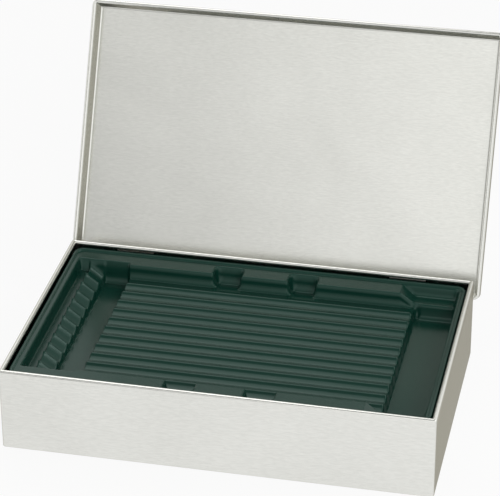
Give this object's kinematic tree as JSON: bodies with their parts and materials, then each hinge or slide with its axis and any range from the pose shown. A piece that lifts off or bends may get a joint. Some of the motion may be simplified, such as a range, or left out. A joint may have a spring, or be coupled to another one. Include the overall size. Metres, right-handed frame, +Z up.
{
  "type": "colored pencil tin",
  "caption": "Rectangular hinged tin for colored pencils, with stacked lift-out moulded trays grooved for the pencils.",
  "frame": {"origin": "centre of the flat underside of the base", "axes": "+X along the length to the right, +Y towards the hinges at the back, +Z up"},
  "size_m": [0.207, 0.1949, 0.1455],
  "materials": {
    "tinplate": "satin tinplate",
    "hinge_steel": "satin",
    "tray_plastic": "satin dark green"
  },
  "bodies": {
    "base": {"base_shell": "tinplate", "base_hinge_leaf_left": "hinge_steel", "base_hinge_leaf_right": "hinge_steel", "hinge_pin_left": "hinge_steel", "hinge_pin_right": "hinge_steel"},
    "lid": {"lid_shell": "tinplate", "lid_hinge_leaf_left": "hinge_steel", "lid_hinge_leaf_right": "hinge_steel"},
    "upper_tray": {"upper_tray": "tray_plastic"},
    "lower_tray": {"lower_tray": "tray_plastic"}
  },
  "joints": [
    {"name": "lid_hinge", "type": "hinge", "parent": "base", "child": "lid", "pos_m": [0, 0.0646, 0.03025], "axis": [1, 0, 0], "range_deg": [0, 116]},
    {"name": "lower_tray_lift", "type": "slide", "parent": "base", "child": "lower_tray", "axis": [0, 0, 1], "range_m": [0, 0.06]},
    {"name": "upper_tray_lift", "type": "slide", "parent": "lower_tray", "child": "upper_tray", "axis": [0, 0, 1], "range_m": [0, 0.06]}
  ]
}
